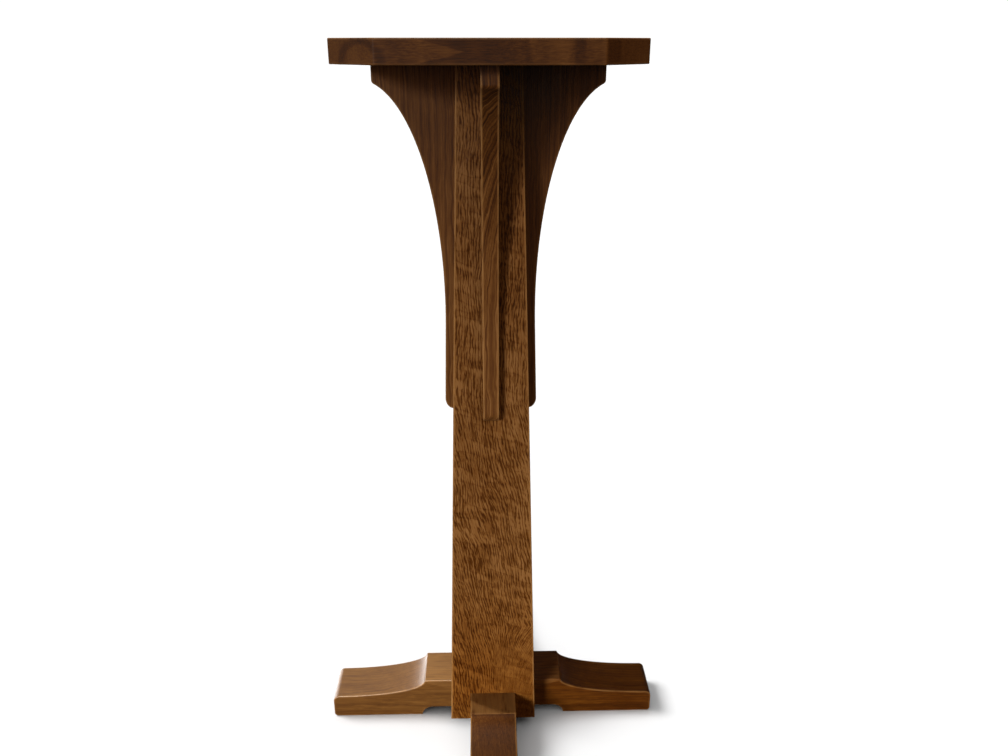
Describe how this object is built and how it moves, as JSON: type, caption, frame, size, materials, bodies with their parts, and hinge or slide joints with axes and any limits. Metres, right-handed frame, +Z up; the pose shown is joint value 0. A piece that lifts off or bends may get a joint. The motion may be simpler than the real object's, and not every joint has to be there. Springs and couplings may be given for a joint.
{
  "type": "plant stand",
  "caption": "Tall square pedestal plant stand: tapered column on crossed sculpted feet, with curved corbels under a square top with clipped corners.",
  "frame": {"origin": "on the floor, at the centre of the crossed feet, under the column's axis", "axes": "+Z up along the column, +X to the stand's right as seen from its front, +Y towards its back"},
  "size_m": [0.458, 0.458, 0.9144],
  "materials": {
    "oak": "satin, fumed brown, quarter-sawn",
    "raw_oak": "sawn, unfinished",
    "beech": "turned, unfinished",
    "steel": "zinc plated"
  },
  "bodies": {
    "root": {"foot_runner_x": "oak", "foot_runner_y": "oak", "base_washer": "steel", "base_bolt": "steel", "top_board_front": "oak", "top_board_middle": "oak", "top_board_back": "oak", "top_block": "raw_oak", "top_screw_left": "steel", "top_screw_right": "steel", "bottom_block": "raw_oak", "column_board_front": "oak", "corbel_front": "oak", "corbel_front_dowel_upper": "beech", "corbel_front_dowel_lower": "beech", "corbel_front_dowel_top": "beech", "column_board_right": "oak", "corbel_right": "oak", "corbel_right_dowel_upper": "beech", "corbel_right_dowel_lower": "beech", "corbel_right_dowel_top": "beech", "column_board_back": "oak", "corbel_back": "oak", "corbel_back_dowel_upper": "beech", "corbel_back_dowel_lower": "beech", "corbel_back_dowel_top": "beech", "column_board_left": "oak", "corbel_left": "oak", "corbel_left_dowel_upper": "beech", "corbel_left_dowel_lower": "beech", "corbel_left_dowel_top": "beech"}
  },
  "joints": []
}
